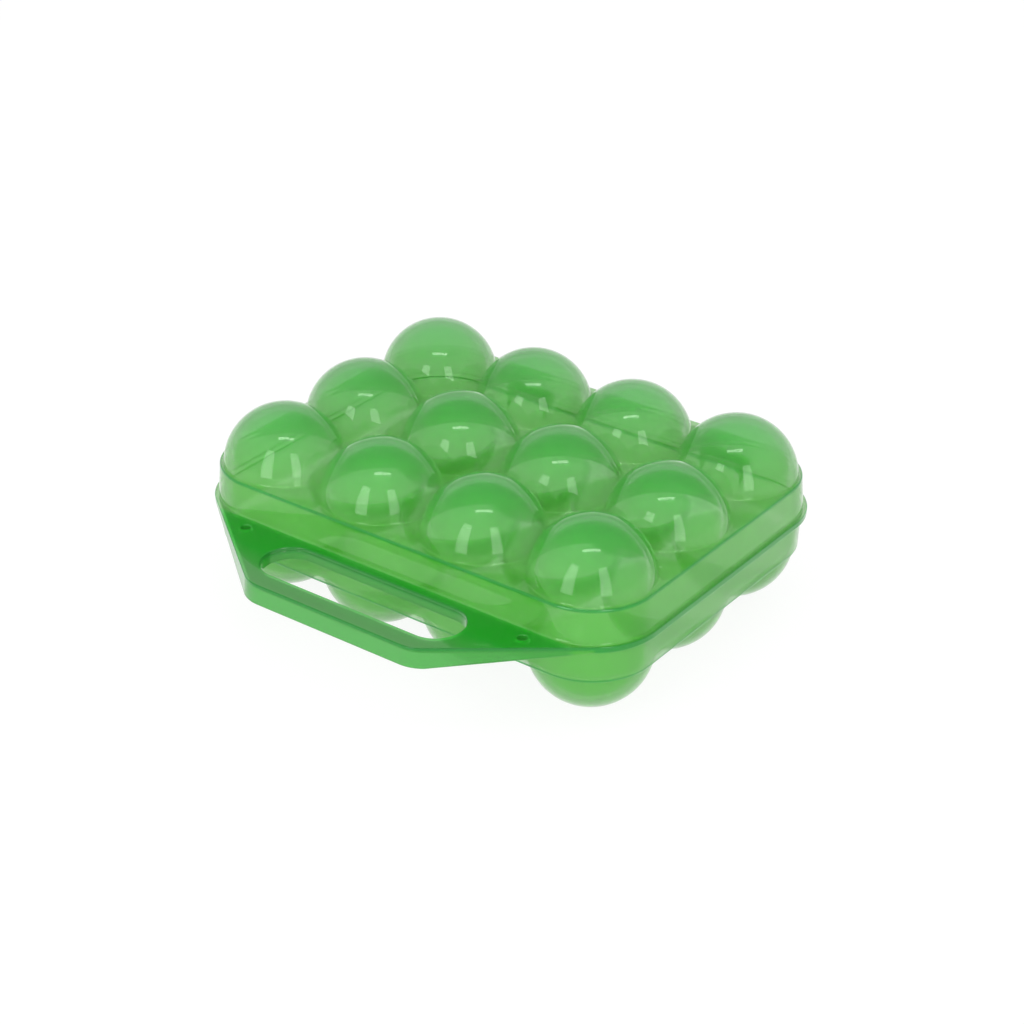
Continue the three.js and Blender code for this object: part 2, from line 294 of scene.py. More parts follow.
def slot_outline(margin):
    """Hand slot with round ends, at a margin outside its edge."""
    radius, end = SLOT_WIDTH / 2 + margin, (SLOT_LENGTH - SLOT_WIDTH) / 2
    return np.concatenate([
        arc(end, -SLOT_CENTRE, radius, -QUARTER, QUARTER, SLOT_STEPS),
        arc(-end, -SLOT_CENTRE, radius, QUARTER, 3 * QUARTER, SLOT_STEPS),
    ])


def cup_centres(parity=None):
    """Centres of all cups, or of every other one as on a chessboard."""
    column, row = np.meshgrid(np.arange(CUP_COLUMNS), np.arange(CUP_ROWS))
    keep = np.ones_like(column, bool) if parity is None else (column + row) % 2 == parity
    x = column[keep] * CUP_PITCH - HALF_CUP_LENGTH
    y = row[keep] * CUP_PITCH - HALF_CUP_DEPTH
    return np.column_stack([x, y])


# Profiles of cups and domes, drawn for the lid and mirrored for the base


def ball_profile(radius, deck, fillet, foot, pole_cut):
    """Rows (r, z) from the axis in the foot up to the pole.

    A sphere of the given radius round z = CUP_CENTRE_DROP runs down to a fillet that is tangent to
    the sphere and, but for DIP, to the level deck. The fillet's centre lies at the radius + fillet
    from the sphere's centre and at deck + fillet - DIP in height. Below it the foot is a cylinder.
    """
    rise = deck + fillet - DIP - CUP_CENTRE_DROP
    reach = radius + fillet
    lean = math.asin(rise / reach)
    out = reach * math.cos(lean)
    flare = arc(out, deck + fillet - DIP, fillet, 3 * QUARTER, 2 * QUARTER + lean, FILLET_RINGS)
    pole = math.acos((radius - pole_cut) / radius)
    tilt = np.linspace(QUARTER - lean, pole, CUP_RINGS + 1)[1:]
    if not pole_cut:
        tilt = tilt[:-1]
    sphere = np.column_stack([radius * np.sin(tilt), CUP_CENTRE_DROP + radius * np.cos(tilt)])
    below = np.array([[0, foot], [out, foot]])
    top = np.array([[0, CUP_CENTRE_DROP + radius - pole_cut]])
    return np.concatenate([below, flare, sphere, top])


def mirrored(profile):
    """The same profile upside down, still running upwards."""
    return profile[::-1] * [1, -1]


def stand(profile, facing):
    """The profile as it is for the lid, facing 1, or upside down for the base, facing -1."""
    return profile if facing > 0 else mirrored(profile)


def cup_sets(facing, pole_cut):
    """Outsides of the cups as two sets, because neighbours' fillets meet."""
    profile = ball_profile(CUP_RADIUS, DECK_DROP, FOOT_FILLET, DECK_DROP - SHELL_WALL / 2, pole_cut)
    profile = stand(profile, facing)
    return [turned(f"cups_{parity}", profile, CUP_SIDES, cup_centres(parity)) for parity in (0, 1)]


def cup_hollows(facing):
    """Insides of the cups, with rounded mouths."""
    deck = DECK_DROP - SHELL_WALL
    profile = ball_profile(CUP_RADIUS - SHELL_WALL, deck, MOUTH_ROUNDING, deck - OVERRUN, 0)
    return turned("cup_hollows", stand(profile, facing), CUP_SIDES, cup_centres())


# Joining, cutting and smoothing


def apply_modifiers(piece):
    """Makes what the modifiers show the piece's own mesh."""
    shown = piece.evaluated_get(bpy.context.evaluated_depsgraph_get())
    mesh = bpy.data.meshes.new_from_object(shown)
    piece.modifiers.clear()
    old = piece.data
    piece.data = mesh
    bpy.data.meshes.remove(old)


def combine(piece, others, operation):
    """Joins other solids to the piece, or cuts them from it, and removes them."""
    for other in others:
        step = piece.modifiers.new("combine", "BOOLEAN")
        step.operation = operation
        step.solver = "MANIFOLD"
        step.object = other
        apply_modifiers(piece)
        mesh = other.data
        bpy.data.objects.remove(other)
        bpy.data.meshes.remove(mesh)


def bevelled(piece, width):
    """Rounds the piece's sharp edges."""
    step = piece.modifiers.new("edge", "BEVEL")
    step.width = width
    step.segments = BEVEL_STEPS
    step.limit_method = "ANGLE"
    step.angle_limit = BEVEL_TURN
    apply_modifiers(piece)
    return piece


def smooth(piece, name):
    """Smooth shading that stays crisp at creases and flat on the broad faces."""
    piece.name = name
    piece.data.name = name
    piece.data.shade_smooth()
    piece.data.set_sharp_from_angle(angle=SMOOTH_TURN)
    normals = piece.modifiers.new("even_normals", "WEIGHTED_NORMAL")
    normals.keep_sharp = True
    normals.weight = BROAD_FACE_WEIGHT
    apply_modifiers(piece)
    mark_edge_shade(piece)
    return piece


def mark_edge_shade(piece):
    """Face attribute edge_shade_mark: 1 where the eye looks into a plate from its edge, else 0.

    The material paints these faces a deeper green as painted shade. Those are the faces that aren't
    level and lie within the thickness of the rim, the handle's plate or a deck. Faces in the cups and
    their fillets, at the studs and behind the lip's rear line are left out. Round the slot, which is
    thinner, the value is SLOT_EDGE_SHADE_SHARE.
    """
    mesh = piece.data
    count = len(mesh.polygons)
    normal, place = np.empty(count * 3), np.empty(count * 3)
    mesh.polygons.foreach_get("normal", normal)
    mesh.polygons.foreach_get("center", place)
    steep = np.abs(normal.reshape(-1, 3)[:, 2]) < LEVEL_NORMAL
    place = place.reshape(-1, 3) - GRID_CENTRE
    height = np.abs(place[:, 2])
    within = (height < PLATE_THICKNESS) | ((height > DECK_DROP - SHELL_WALL) & (height < DECK_DROP))
    from_cup = np.linalg.norm(place[:, None, :2] - cup_centres()[None], axis=2).min(axis=1)
    outside = (from_cup > CUP_RADIUS + FOOT_FILLET) & (place[:, 1] < LIP_LINE)
    from_stud = np.linalg.norm(place[:, None, :2] - np.array(STUD_CENTRES)[None], axis=2).min(axis=1)
    outside &= from_stud > STUD_RADIUS + STUD_CLEARANCE + SLOT_ROUNDING
    slot = np.array([SLOT_LENGTH, SLOT_WIDTH]) / 2 + PLATE_THICKNESS
    share = np.where((np.abs(place[:, :2] + [0, SLOT_CENTRE]) < slot).all(axis=1), SLOT_EDGE_SHADE_SHARE, 1)
    mark = mesh.attributes.new("edge_shade_mark", "FLOAT", "FACE")
    mark.data.foreach_set("value", (share * (steep & within & outside)).astype(np.float32))


# Sub-parts of the mouldings


def tray(name, rings):
    """A solid lofted through rounded rectangles, given as rows (margin, z) from below."""
    return loft(name, [at_height(tray_outline(margin), z) for margin, z in rings])


def lid_tray():
    """Walls and deck of the lid: a cove at the rim, a drafted wall and a rounded deck edge.

    One ring divides the wall where the band of its deck edge ends.
    """
    foot = LID_WALL_MARGIN + LIP_COVE
    cove = arc(foot, PLATE_THICKNESS + LIP_COVE - DIP, LIP_COVE, 3 * QUARTER, 2 * QUARTER, ROUND_STEPS)
    inside, below = DECK_MARGIN - DECK_ROUNDING, DECK_DROP - DECK_ROUNDING
    deck = arc(inside, below, DECK_ROUNDING, 0, QUARTER, ROUND_STEPS)
    under = [(DECK_MARGIN + LID_WALL_DRAFT * EDGE_BAND / DECK_DROP, DECK_DROP - EDGE_BAND)]
    return tray("lid_tray", np.concatenate([[(foot, 0)], cove, under, deck]))


def base_tray():
    """Walls and deck of the base, with a rounded deck edge below and a ring where its band ends."""
    inside, above = DECK_MARGIN - DECK_ROUNDING, DECK_ROUNDING - DECK_DROP
    deck = arc(inside, above, DECK_ROUNDING, -QUARTER, 0, ROUND_STEPS)
    over = [(DECK_MARGIN + BASE_WALL_DRAFT * EDGE_BAND / DECK_DROP, EDGE_BAND - DECK_DROP)]
    return tray("base_tray", np.concatenate([deck, over, [(BASE_WALL_MARGIN, 0)]]))


def tray_hollow(wall_margin, facing):
    """Inside of a tray. Its mouth at the parting plane and its corner at the deck are rounded."""
    inside, deck = DECK_MARGIN - SHELL_WALL, DECK_DROP - SHELL_WALL
    mouth = wall_margin - SHELL_WALL
    rim = arc(mouth + EDGE_ROUNDING, EDGE_ROUNDING, EDGE_ROUNDING, 3 * QUARTER, 2 * QUARTER, ROUND_STEPS)
    corner = arc(inside - INNER_ROUNDING, deck - INNER_ROUNDING, INNER_ROUNDING, 0, QUARTER, ROUND_STEPS)
    below = [(mouth + EDGE_ROUNDING, -OVERRUN)]
    rings = np.concatenate([below, rim - [0, DIP], corner])
    return tray("tray_hollow", rings if facing > 0 else rings[::-1] * [1, -1])


def skirt_depth(outline):
    """Depth of the skirt's foot below the parting plane at each point of the outline.

    It is the lip's drop round the box. Along the handle's sides it grows evenly with x to the
    skirt's full drop, which it keeps round the grip.
    """
    box_x = HALF_CUP_LENGTH + LIP_MARGIN * math.cos(SIDE_NORMAL)
    grip_x = GRIP_CORNER_X + GRIP_CORNER_RADIUS * math.cos(SIDE_NORMAL)
    share = np.clip((box_x - np.abs(outline[:, 0])) / (box_x - grip_x), 0, 1)
    share = np.where(outline[:, 1] < -HALF_CUP_DEPTH, share, 0)
    return LIP_DROP + (SKIRT_DROP - LIP_DROP) * share


def lid_rim():
    """The lid's plate with its lip and skirt, as one loft.

    The rings start under the plate, run down the inside of the skirt, round its foot, up the
    outside and over the rounded top edge. The skirt spreads evenly downwards by its draft.
    """
    base = carrier_outline(0)
    depth = skirt_depth(base)
    half = LIP_THICKNESS / 2

    def ring(offset, z):
        z = np.broadcast_to(z, len(base))
        outward = (carrier_outline(1) - base)
        spread = offset - SKIRT_DRAFT * np.minimum(z, 0) / SKIRT_DROP
        return np.column_stack([base + outward * spread[:, None], z])

    under = arc(-LIP_THICKNESS - EDGE_ROUNDING, -EDGE_ROUNDING, EDGE_ROUNDING, QUARTER, 0, ROUND_STEPS)
    foot = arc(-half, 0, half, 2 * QUARTER, 4 * QUARTER, 2 * ROUND_STEPS)
    top = arc(-EDGE_ROUNDING, PLATE_THICKNESS - EDGE_ROUNDING, EDGE_ROUNDING, 0, QUARTER, ROUND_STEPS)
    rings = [ring(offset, z) for offset, z in under]
    rings += [ring(offset, z - depth + half) for offset, z in foot]
    rings += [ring(0, PLATE_THICKNESS - EDGE_BAND)]
    rings += [ring(offset, z) for offset, z in top]
    return loft("lid_rim", rings)


def base_rim():
    """The base's rim and handle plate, inside the lid's lip."""
    outside = -LIP_THICKNESS - RIM_CLEARANCE
    edge = EDGE_ROUNDING / 2
    low = arc(outside - edge, edge - PLATE_THICKNESS, edge, -QUARTER, 0, ROUND_STEPS)
    high = arc(outside - edge, -edge, edge, 0, QUARTER, ROUND_STEPS)
    rows = np.concatenate([low, high])
    return loft("base_rim", [at_height(carrier_outline(spread), z) for spread, z in rows])


def slot_collar():
    """Turned-down edge of the slot in the base's plate."""
    edge = EDGE_ROUNDING / 2
    low = arc(SHELL_WALL - edge, edge - COLLAR_DROP, edge, -QUARTER, 0, ROUND_STEPS)
    cove = arc(SHELL_WALL + EDGE_ROUNDING, -PLATE_THICKNESS - EDGE_ROUNDING + DIP, EDGE_ROUNDING,
               2 * QUARTER, QUARTER, ROUND_STEPS)
    top = [(SHELL_WALL + EDGE_ROUNDING, -PLATE_THICKNESS / 2)]
    rows = np.concatenate([low, cove, top])
    return loft("slot_collar", [at_height(slot_outline(margin), z) for margin, z in rows])


def slot_cut(low, high, low_round, high_round):
    """Cutting shape of the slot between two faces, flaring in a quarter circle at each."""
    below = arc(low_round, low + low_round, low_round, 3 * QUARTER, 2 * QUARTER, ROUND_STEPS)
    above = arc(high_round, high - high_round, high_round, 2 * QUARTER, QUARTER, ROUND_STEPS)
    rows = np.concatenate([
        [(low_round, low - OVERRUN)], below - [0, DIP], [(0, high - EDGE_BAND)],
        above + [0, DIP], [(high_round, high + OVERRUN)],
    ])
    return loft("slot_cut", [at_height(slot_outline(margin), z) for margin, z in rows])


def studs():
    """Pegs under the lid's plate, with a rounded nose and a slight bead."""
    nose = STUD_RADIUS - STUD_BEAD
    neck = -(PLATE_THICKNESS + STUD_CLEARANCE)
    rounding = arc(nose - EDGE_ROUNDING, EDGE_ROUNDING - STUD_DROP, EDGE_ROUNDING, -QUARTER, 0, ROUND_STEPS)
    rows = np.concatenate([
        [(0, -STUD_DROP)], rounding, [
            (STUD_RADIUS + STUD_BEAD, (neck - STUD_DROP) / 2), (STUD_RADIUS, neck),
            (STUD_RADIUS, PLATE_THICKNESS / 2), (0, PLATE_THICKNESS / 2),
        ],
    ])
    return turned("studs", rows, PIN_SIDES, STUD_CENTRES)


def stud_dimples():
    """Hollows of the pegs, open and rounded at the top of the plate."""
    radius = STUD_RADIUS - STUD_WALL
    floor = STUD_WALL - STUD_DROP
    low = arc(radius - EDGE_ROUNDING, floor + EDGE_ROUNDING, EDGE_ROUNDING, -QUARTER, 0, ROUND_STEPS)
    high = arc(radius + SLOT_ROUNDING, PLATE_THICKNESS - SLOT_ROUNDING + DIP, SLOT_ROUNDING,
               2 * QUARTER, QUARTER, ROUND_STEPS)
    above = PLATE_THICKNESS + OVERRUN
    rows = np.concatenate([[(0, floor)], low, high, [(radius + SLOT_ROUNDING, above), (0, above)]])
    return turned("stud_dimples", rows, PIN_SIDES, STUD_CENTRES)


def stud_holes():
    """Cylinders that cut the studs' holes, wider than the studs by their clearance."""
    radius = STUD_RADIUS + STUD_CLEARANCE
    low = -PLATE_THICKNESS - OVERRUN
    rows = [(0, low), (radius, low), (radius, OVERRUN), (0, OVERRUN)]
    return turned("stud_holes", rows, PIN_SIDES, STUD_CENTRES)


def ears():
    """Two ears for each pin, webs that taper from the round eye to the base's wall."""
    foot = (HALF_CUP_DEPTH + BASE_WALL_MARGIN - SHELL_WALL / 2, -EAR_FOOT_DROP)
    to_axis = (HINGE_LINE - foot[0], -foot[1])
    underside = math.atan2(to_axis[1], to_axis[0]) - math.asin(EAR_RADIUS / math.hypot(*to_axis)) - QUARTER
    shoulder = LIP_DROP + EAR_TOP_GAP
    shoulder_angle = 2 * QUARTER + math.asin(shoulder / EAR_RADIUS)
    root = LIP_LINE - LIP_THICKNESS - RIM_CLEARANCE - SHELL_WALL / 2
    profile = np.concatenate([
        [foot], arc(HINGE_LINE, 0, EAR_RADIUS, underside, shoulder_angle, PIN_SIDES),
        [(root, -shoulder), (root, -PLATE_THICKNESS / 2), (foot[0], -PLATE_THICKNESS / 2)],
    ])
    inner = HOOK_LENGTH / 2 + EAR_GAP
    outer = inner + EAR_THICKNESS
    spans = [(x + side[0], x + side[1]) for x in HINGE_PLACES for side in ((inner, outer), (-outer, -inner))]
    return bevelled(bars("ears", profile, spans), HINGE_BEVEL)


def pins():
    """Hinge pins: full circles round the hinge's line, from the middle of one ear to the next one's."""
    length = HOOK_LENGTH + 2 * EAR_GAP + EAR_THICKNESS
    profile = arc(HINGE_LINE, 0, PIN_RADIUS, 0, 4 * QUARTER, PIN_SIDES)[:-1]
    return bars("pins", profile, [(x - length / 2, x + length / 2) for x in HINGE_PLACES])


def hooks():
    """Open hooks on the lid's lip, which snap over the pins from above."""
    bore = PIN_RADIUS + PIN_CLEARANCE
    right_lip = HOOK_MOUTH_HALF_ANGLE - QUARTER
    left_lip = 3 * QUARTER - HOOK_MOUTH_HALF_ANGLE
    arm = LIP_LINE - LIP_THICKNESS / 2
    profile = np.concatenate([
        arc(HINGE_LINE, 0, HOOK_RADIUS, right_lip, QUARTER, PIN_SIDES // 2),
        [(arm, PLATE_THICKNESS), (arm, 0)],
        arc(HINGE_LINE, 0, HOOK_RADIUS, 2 * QUARTER, left_lip, ROUND_STEPS),
        arc(HINGE_LINE, 0, bore, left_lip, right_lip, PIN_SIDES),
    ])
    spans = [(x - HOOK_LENGTH / 2, x + HOOK_LENGTH / 2) for x in HINGE_PLACES]
    return bevelled(bars("hooks", profile, spans), HINGE_BEVEL)


def base_moulding():
    """The base: all that stands out is joined to its rim, and then the hollows are cut."""
    body = base_rim()
    combine(body, [base_tray(), slot_collar(), *cup_sets(-1, REST_FLAT_CUT), ears(), pins()], "UNION")
    slot = slot_cut(-COLLAR_DROP, 0, EDGE_ROUNDING / 2, EDGE_ROUNDING)
    combine(body, [tray_hollow(BASE_WALL_MARGIN, -1), cup_hollows(-1), slot, stud_holes()], "DIFFERENCE")
    return smooth(body, "base_moulding")


def lid_moulding():
    """The lid, made in the same order."""
    body = lid_rim()
    combine(body, [lid_tray(), *cup_sets(1, 0), studs(), hooks()], "UNION")
    slot = slot_cut(0, PLATE_THICKNESS, EDGE_ROUNDING / 2, SLOT_ROUNDING)
    combine(body, [tray_hollow(LID_WALL_MARGIN, 1), cup_hollows(1), slot, stud_dimples()], "DIFFERENCE")
    return smooth(body, "lid_moulding")


# Material: linear colours, each pale and full green the two ends of a cloudy pattern

DOME_GREEN_PALE = (0.080, 0.58, 0.090, 1)
DOME_GREEN_FULL = (0.067, 0.53, 0.077, 1)
TRAY_GREEN_PALE = (0.097, 0.54, 0.042, 1)
TRAY_GREEN_FULL = (0.081, 0.48, 0.031, 1)
HANDLE_GREEN = (0.022, 0.58, 0.034, 1)
# Painted light: the grip's front is paler than the rest of the handle
GRIP_PAINTED_LIGHT_GREEN = (0.120, 0.50, 0.105, 1)
# Painted shade: the skirt is a darker green than the plate above it
SKIRT_PAINTED_SHADE_GREEN = (0.046, 0.40, 0.042, 1)
# Painted shade: the marked edges are a deeper green where they face the eye
EDGE_PAINTED_SHADE_GREEN = (0.004, 0.34, 0.030, 1)

# Share of the light that goes straight on through a face: in the trays' walls, the base's web, a
# dome's flank and pole, the handle and a marked edge

WALL_SEE_THROUGH = 0.43
WEB_SEE_THROUGH = 0.60
FLANK_SEE_THROUGH = 0.56
POLE_SEE_THROUGH = 0.45
HANDLE_SEE_THROUGH = 0.16
EDGE_SEE_THROUGH = 0.10

# From where a face counts as seen along, between 0 face on and 1 edge on, how much goes through it
# there, and how much of a lamp's light a face stops

GRAZING_START = 0.5
GRAZING_SEE_THROUGH = 0.10
LIGHT_STOPPED = 0.14

# The plastic's body, its polish and the gloss of its skin

CLARITY = 0.5
GLOSS_LOW, GLOSS_HIGH = 0.03, 0.06
REFRACTION = 1.13
COAT_WEIGHT = 1.0
COAT_REFRACTION = 1.55
COAT_ROUGHNESS = 0.035

# Scale and detail of the patterns: clouds in the colour, grain in the polish, waves in the surface

CLOUD_PATTERN = (28, 3)
GRAIN_PATTERN = (420, 4)
WAVE_PATTERN = (55, 2)
WAVE_STRENGTH = 0.35
WAVE_HEIGHT = 0.00025


def noise(nodes, links, place, scale, detail):
    """A cloudy pattern on Object coordinates."""
    cloud = nodes.new("ShaderNodeTexNoise")
    cloud.inputs["Scale"].default_value = scale
    cloud.inputs["Detail"].default_value = detail
    links.new(place.outputs["Object"], cloud.inputs["Vector"])
    return cloud.outputs["Fac"]


def blend(nodes, links, share, first, second):
    """Mix of two colours, each a socket or a constant, from first at share 0 to second at share 1."""
    mix = nodes.new("ShaderNodeMix")
    mix.data_type = "RGBA"
    links.new(share, mix.inputs["Factor"])
    for name, colour in (("A", first), ("B", second)):
        socket = next(i for i in mix.inputs if i.name == name and i.type == "RGBA")
        if isinstance(colour, tuple):
            socket.default_value = colour
        else:
            links.new(colour, socket)
    return next(o for o in mix.outputs if o.type == "RGBA")


def ramp(nodes, links, value, span, results):
    """The value carried from one span to another, held at the ends."""
    step = nodes.new("ShaderNodeMapRange")
    links.new(value, step.inputs["Value"])
    step.inputs["From Min"].default_value, step.inputs["From Max"].default_value = span
    for name, result in zip(("To Min", "To Max"), results):
        if isinstance(result, (int, float)):
            step.inputs[name].default_value = result
        else:
            links.new(result, step.inputs[name])
    return step.outputs["Result"]


def clear_green_plastic():
    """Tinted polypropylene: light passes, scatters a little and turns greener with each wall.

    The trays are a yellower green than the tops of the domes. The handle in front of the tray's wall
    is denser, palest at the grip's front as painted light and darkest down the skirt as painted
    shade. The edges that the piece's attribute edge_shade_mark marks are painted the deepest green,
    as shade, where they face the eye and the eye looks along the plate; a wall seen along its face
    lets less through.
    """
    material = bpy.data.materials.new("clear_green_plastic")
    material.use_nodes = True
    nodes, links = material.node_tree.nodes, material.node_tree.links
    shader = nodes["Principled BSDF"]
    place = nodes.new("ShaderNodeTexCoord")
    parts = nodes.new("ShaderNodeSeparateXYZ")
    links.new(place.outputs["Object"], parts.inputs["Vector"])
    depth, height = parts.outputs["Y"], parts.outputs["Z"]
    wall = GRID_CENTRE[1] - HALF_CUP_DEPTH - LID_WALL_MARGIN
    cups = ramp(nodes, links, depth, (wall - LIP_COVE, wall), (0.0, 1.0))
    painted_edge_shade = nodes.new("ShaderNodeAttribute")
    painted_edge_shade.attribute_name = "edge_shade_mark"
    side = nodes.new("ShaderNodeNewGeometry")
    # Painted shade: the marked edges, on faces turned to the eye, take the deeper green and let less through
    edge = ramp(nodes, links, side.outputs["Backfacing"], (0, 1), (painted_edge_shade.outputs["Fac"], 0.0))

    cloud = noise(nodes, links, place, *CLOUD_PATTERN)
    deck, pole = PARTING_HEIGHT + DECK_DROP, LID_HIGH[2]
    domes = ramp(nodes, links, height, (deck - SHELL_WALL, deck + SHELL_WALL), (0.0, 1.0))
    tray_green = blend(nodes, links, cloud, TRAY_GREEN_FULL, TRAY_GREEN_PALE)
    dome_green = blend(nodes, links, cloud, DOME_GREEN_FULL, DOME_GREEN_PALE)
    rise = ramp(nodes, links, height, (deck, pole), (0.0, 1.0))
    green = blend(nodes, links, rise, tray_green, dome_green)
    front = GRID_CENTRE[1] - GRIP_FRONT
    # Painted light: the handle gets paler towards the grip's front
    grip = ramp(nodes, links, depth, (front, front + GRIP_WIDTH + SLOT_WIDTH / 2), (0.0, 1.0))
    plate = (PARTING_HEIGHT, PARTING_HEIGHT + PLATE_THICKNESS)
    # Painted shade: the handle gets darker down the skirt below the plate
    skirt = ramp(nodes, links, height, plate, (1.0, 0.0))
    handle_painted_light_and_shade = blend(nodes, links, grip, GRIP_PAINTED_LIGHT_GREEN, HANDLE_GREEN)
    handle_painted_light_and_shade = blend(nodes, links, skirt, handle_painted_light_and_shade, SKIRT_PAINTED_SHADE_GREEN)
    green = blend(nodes, links, cups, handle_painted_light_and_shade, green)
    # Painted shade at the marked edges
    green = blend(nodes, links, edge, green, EDGE_PAINTED_SHADE_GREEN)
    links.new(green, shader.inputs["Base Color"])

    web = PARTING_HEIGHT - DECK_DROP + SHELL_WALL
    at_web, at_wall = 1 - WEB_SEE_THROUGH, 1 - WALL_SEE_THROUGH
    opacity = ramp(nodes, links, height, (web, web + SHELL_WALL), (at_web, at_wall))
    under = ramp(nodes, links, height, (web - 2 * SHELL_WALL, web - SHELL_WALL), (0.0, 1.0))
    opacity = ramp(nodes, links, under, (0, 1), (at_wall, opacity))
    opacity = ramp(nodes, links, domes, (0, 1), (opacity, 1 - FLANK_SEE_THROUGH))
    opacity = ramp(nodes, links, height, ((deck + pole) / 2, pole), (opacity, 1 - POLE_SEE_THROUGH))
    opacity = ramp(nodes, links, cups, (0, 1), (1 - HANDLE_SEE_THROUGH, opacity))
    along = nodes.new("ShaderNodeLayerWeight").outputs["Facing"]
    opacity = ramp(nodes, links, along, (GRAZING_START, 1), (opacity, 1 - GRAZING_SEE_THROUGH))
    opacity = ramp(nodes, links, edge, (0, 1), (opacity, 1 - EDGE_SEE_THROUGH))
    lamplight = nodes.new("ShaderNodeLightPath").outputs["Is Shadow Ray"]
    opacity = ramp(nodes, links, lamplight, (0, 1), (opacity, LIGHT_STOPPED))
    links.new(opacity, shader.inputs["Alpha"])

    grain = noise(nodes, links, place, *GRAIN_PATTERN)
    links.new(ramp(nodes, links, grain, (0, 1), (GLOSS_LOW, GLOSS_HIGH)), shader.inputs["Roughness"])
    waves = nodes.new("ShaderNodeBump")
    waves.inputs["Strength"].default_value = WAVE_STRENGTH
    waves.inputs["Distance"].default_value = WAVE_HEIGHT
    links.new(noise(nodes, links, place, *WAVE_PATTERN), waves.inputs["Height"])
    links.new(waves.outputs["Normal"], shader.inputs["Normal"])

    shader.inputs["IOR"].default_value = REFRACTION
    shader.inputs["Transmission Weight"].default_value = CLARITY
    shader.inputs["Coat Weight"].default_value = COAT_WEIGHT
    shader.inputs["Coat IOR"].default_value = COAT_REFRACTION
    shader.inputs["Coat Roughness"].default_value = COAT_ROUGHNESS
    return material


# Floor, light and camera

FLOOR_SIZE = 8.0
FLOOR_GAP = 0.00005
FLOOR_WHITE = 0.95
FLOOR_ROUGHNESS = 0.9
FLOOR_GLOW_SHARE = 0.85
FLOOR_GLOW = 1.05

# Softboxes: azimuth and distance of a standing one's foot, or elevation and distance of the overhead
# strip, then width, height or depth, and radiance. FOOT_GAP is the height of a standing one's foot

LEFT_AZIMUTH, LEFT_DISTANCE = 0, 0.66
LEFT_WIDTH, LEFT_HEIGHT, LEFT_LIGHT = 0.23, 0.68, 3.6
RIGHT_AZIMUTH, RIGHT_DISTANCE = 59, 1.20
RIGHT_WIDTH, RIGHT_HEIGHT, RIGHT_LIGHT = 0.38, 1.15, 3.4
FOOT_GAP = 0.01
STRIP_ELEVATION, STRIP_DISTANCE = 74, 1.0
STRIP_WIDTH, STRIP_DEPTH, STRIP_LIGHT = 0.46, 0.08, 7.0
SKY_LIGHT = 0.74

# Camera: its target from the cup grid's centre, angles in degrees, lens and sensor in millimetres

CAMERA_TARGET = (0.0073, -0.0084, 0.0)
CAMERA_AZIMUTH = 36.556
CAMERA_ELEVATION = 29.291
CAMERA_ROLL = -0.208
CAMERA_DISTANCE = 0.95885
CAMERA_LENS = 84.56
CAMERA_SENSOR = 36
CAMERA_NEAR = 0.01


def combined(nodes, links, operation, first, second, held=False):
    """Sum or product of a socket and another socket or a constant, held within 0 and 1 if asked."""
    step = nodes.new("ShaderNodeMath")
    step.operation = operation
    step.use_clamp = held
    links.new(first, step.inputs[0])
    if isinstance(second, (int, float)):
        step.inputs[1].default_value = second
    else:
        links.new(second, step.inputs[1])
    return step.outputs[0]


def floor():
    """Pale level floor. What looks at it from above sees it nearly white, and the object's shadow stays.

    From below it is clear, so that the underside shows.
    """
    half = FLOOR_SIZE / 2
    corners = [(x, y, -FLOOR_GAP) for x, y in ((-half, -half), (half, -half), (half, half), (-half, half))]
    mesh = bpy.data.meshes.new("floor")
    mesh.from_pydata(corners, [], [(0, 1, 2, 3)])
    ground = bpy.data.objects.new("floor", mesh)
    bpy.context.scene.collection.objects.link(ground)
    material = bpy.data.materials.new("pale_floor")
    material.use_nodes = True
    nodes, links = material.node_tree.nodes, material.node_tree.links
    shader = nodes["Principled BSDF"]
    shader.inputs["Base Color"].default_value = (FLOOR_WHITE, FLOOR_WHITE, FLOOR_WHITE, 1)
    shader.inputs["Roughness"].default_value = FLOOR_ROUGHNESS
    shader.inputs["Specular IOR Level"].default_value = 0.0
    glow = nodes.new("ShaderNodeEmission")
    glow.inputs["Strength"].default_value = FLOOR_GLOW
    path = nodes.new("ShaderNodeLightPath").outputs
    seen = combined(nodes, links, "ADD", path["Is Camera Ray"], path["Is Glossy Ray"])
    seen = combined(nodes, links, "ADD", seen, path["Is Transmission Ray"], held=True)
    lit = nodes.new("ShaderNodeMixShader")
    links.new(combined(nodes, links, "MULTIPLY", seen, FLOOR_GLOW_SHARE), lit.inputs["Fac"])
    links.new(shader.outputs["BSDF"], lit.inputs[1])
    links.new(glow.outputs["Emission"], lit.inputs[2])
    side = nodes.new("ShaderNodeNewGeometry")
    clear_below = nodes.new("ShaderNodeMixShader")
    links.new(side.outputs["Backfacing"], clear_below.inputs["Fac"])
    links.new(lit.outputs["Shader"], clear_below.inputs[1])
    links.new(nodes.new("ShaderNodeBsdfTransparent").outputs["BSDF"], clear_below.inputs[2])
    links.new(clear_below.outputs["Shader"], nodes["Material Output"].inputs["Surface"])
    ground.data.materials.append(material)


def direction(azimuth, elevation):
    """Unit vector towards a place seen from the object: azimuth 0 is the handle's side, 90 is +X."""
    a, e = math.radians(azimuth), math.radians(elevation)
    return np.array([math.sin(a) * math.cos(e), -math.cos(a) * math.cos(e), math.sin(e)])


def turn_to(thing, right, up, back):
    """Sets an object's axes: its X to right, its Y to up and its Z to back."""
    matrix = np.eye(4)
    matrix[:3, 0], matrix[:3, 1], matrix[:3, 2] = right, up, back
    matrix[:3, 3] = thing.location
    thing.matrix_world = matrix.T.tolist()


